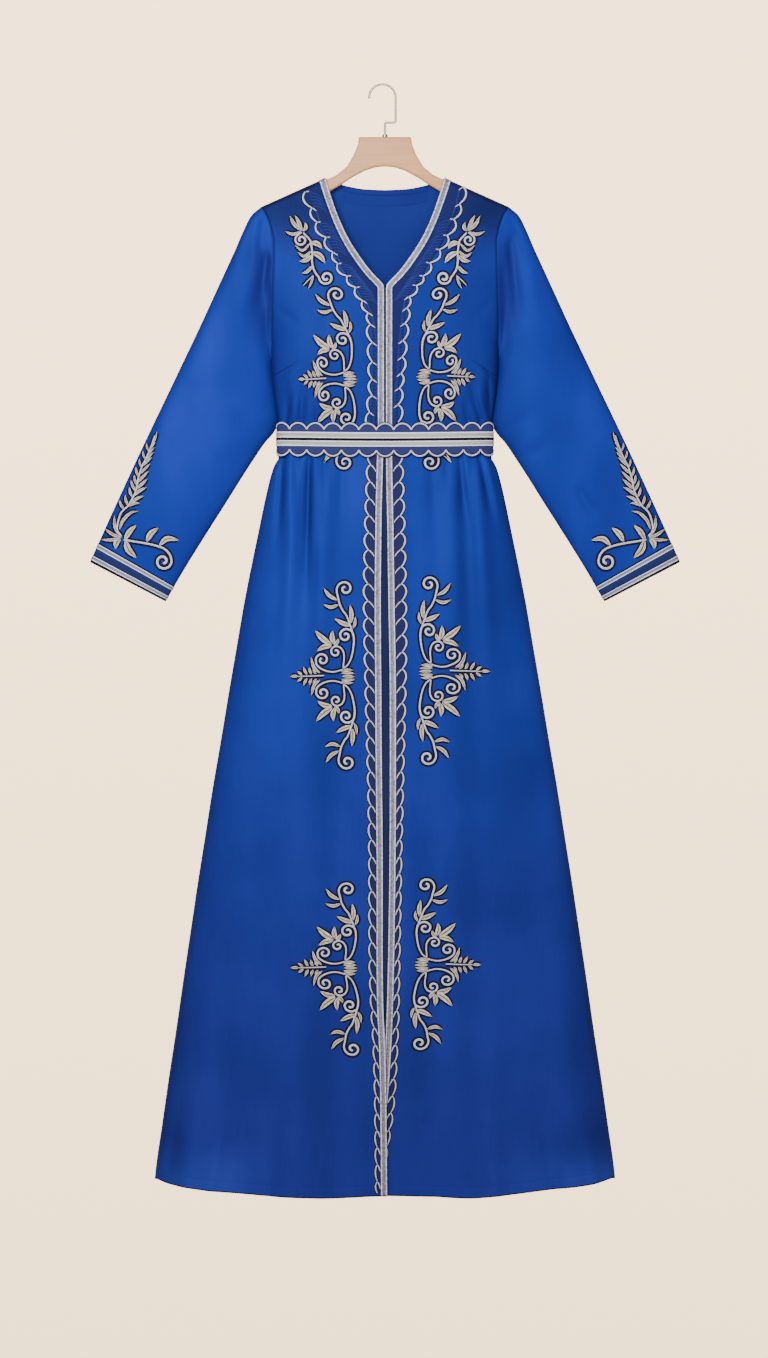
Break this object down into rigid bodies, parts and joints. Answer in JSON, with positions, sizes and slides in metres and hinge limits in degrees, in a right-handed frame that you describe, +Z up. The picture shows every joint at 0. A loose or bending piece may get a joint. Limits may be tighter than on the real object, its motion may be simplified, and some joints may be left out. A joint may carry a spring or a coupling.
{
  "type": "kaftan on a hanger",
  "caption": "Long-sleeved V-neck royal blue satin kaftan with silver braid, scroll embroidery and its own belt, hanging flat on a pale wooden hanger with a steel hook.",
  "frame": {"origin": "inner top of the hanger's hook, where it rests on a rod", "axes": "+Z up along the garment, +X to the right of a person who looks at the front, +Y towards the garment's back, so the front faces -Y"},
  "size_m": [0.858, 0.0895, 1.6115],
  "materials": {
    "blue_satin": "royal blue satin",
    "blue_satin_inside": "duller inside of the same satin",
    "silver_braid": "woven metallic braid, silver with gold",
    "pale_wood": "pale satin-varnished beech",
    "steel_wire": "plain steel wire"
  },
  "bodies": {
    "root": {"bodice_front_left": "blue_satin", "bodice_front_right": "blue_satin", "bodice_back": "blue_satin", "sleeve_left": "blue_satin", "sleeve_right": "blue_satin", "skirt_front_left": "blue_satin", "skirt_front_right": "blue_satin", "skirt_back": "blue_satin", "belt": "blue_satin", "front_placket": "blue_satin_inside", "back_neck_facing": "blue_satin_inside", "braid_neck_left": "silver_braid", "braid_neck_right": "silver_braid", "braid_skirt_left": "silver_braid", "braid_skirt_right": "silver_braid", "braid_cuff_left_upper": "silver_braid", "braid_cuff_left_lower": "silver_braid", "braid_cuff_right_upper": "silver_braid", "braid_cuff_right_lower": "silver_braid", "braid_belt_upper": "silver_braid", "braid_belt_lower": "silver_braid", "hanger_wood": "pale_wood", "hanger_hook": "steel_wire", "hook_ferrule": "steel_wire"}
  },
  "joints": []
}
